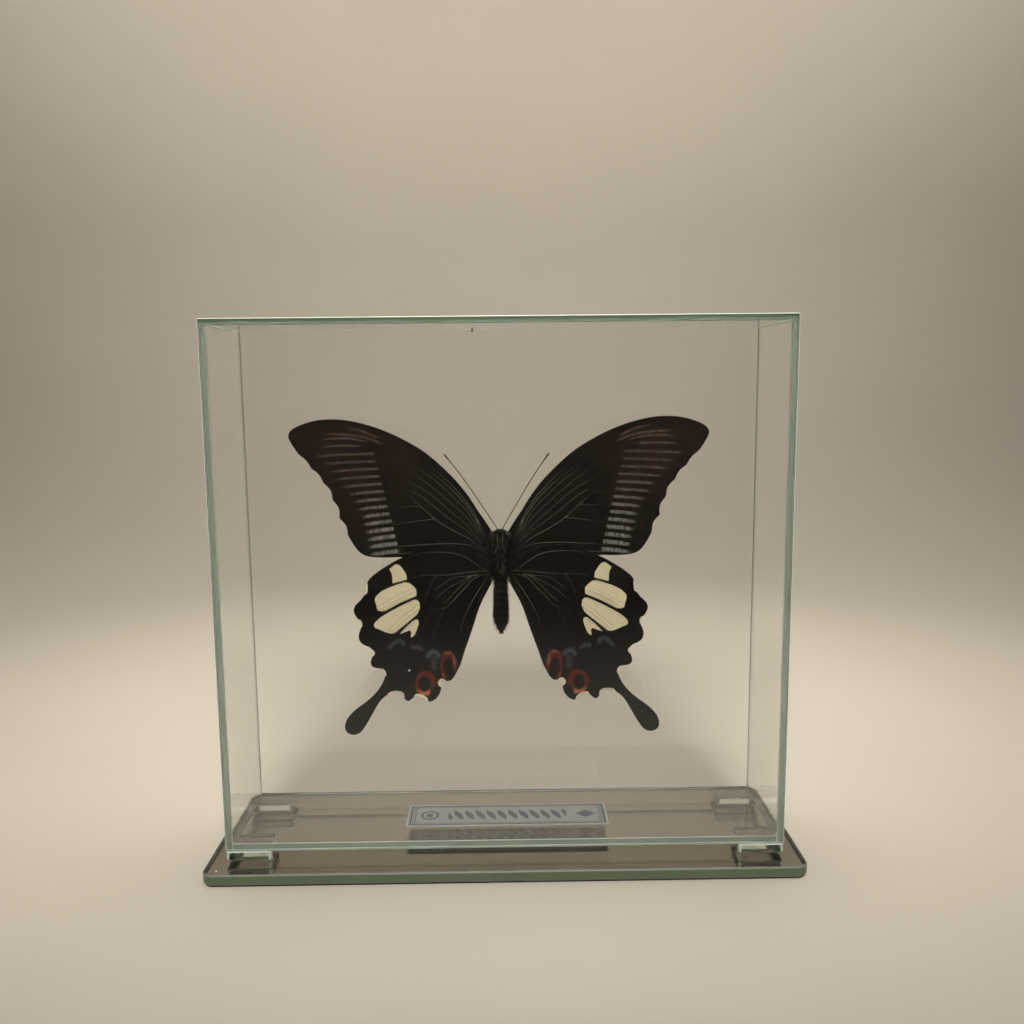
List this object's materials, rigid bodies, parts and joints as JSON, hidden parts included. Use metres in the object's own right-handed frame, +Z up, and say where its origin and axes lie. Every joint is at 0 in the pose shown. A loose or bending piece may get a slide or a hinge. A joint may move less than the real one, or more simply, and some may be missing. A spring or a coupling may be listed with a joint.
{
  "type": "butterfly specimen in glass display case",
  "caption": "Dark swallowtail butterfly with spread wings, floating upright in a clear glass case on small clear feet over a mirror-glass base.",
  "frame": {"origin": "middle of the base's underside, on the surface it stands on", "axes": "+X along the case's width, to the right seen from its back; +Y from the back pane to the front pane; +Z up"},
  "size_m": [0.181, 0.057, 0.1659],
  "materials": {
    "clear_glass": "polished clear float glass with green edges",
    "mirror_glass": "glass silvered on its underside, green polished edges",
    "backing_paint": "matt dark protective sheet",
    "label_film": null,
    "clear_acrylic": "clear drawn acrylic rod",
    "insect_body": "black chitin under short dark hair",
    "wing_scales": "soft matt brown-black scales with cream patches, grey streaks and red eyespots",
    "insect_horn": "dull brown horn"
  },
  "bodies": {
    "root": {"base_glass": "mirror_glass", "mirror_backing": "backing_paint", "foot_back_left": "clear_glass", "foot_back_right": "clear_glass", "foot_front_left": "clear_glass", "foot_front_right": "clear_glass", "floor_pane": "clear_glass", "pane_back": "clear_glass", "pane_front": "clear_glass", "pane_left": "clear_glass", "pane_right": "clear_glass", "top_pane": "clear_glass", "label": "label_film", "support_rod": "clear_acrylic", "body": "insect_body", "forewing_left": "wing_scales", "forewing_right": "wing_scales", "hindwing_left": "wing_scales", "hindwing_right": "wing_scales", "antenna_left": "insect_horn", "antenna_right": "insect_horn"}
  },
  "joints": []
}
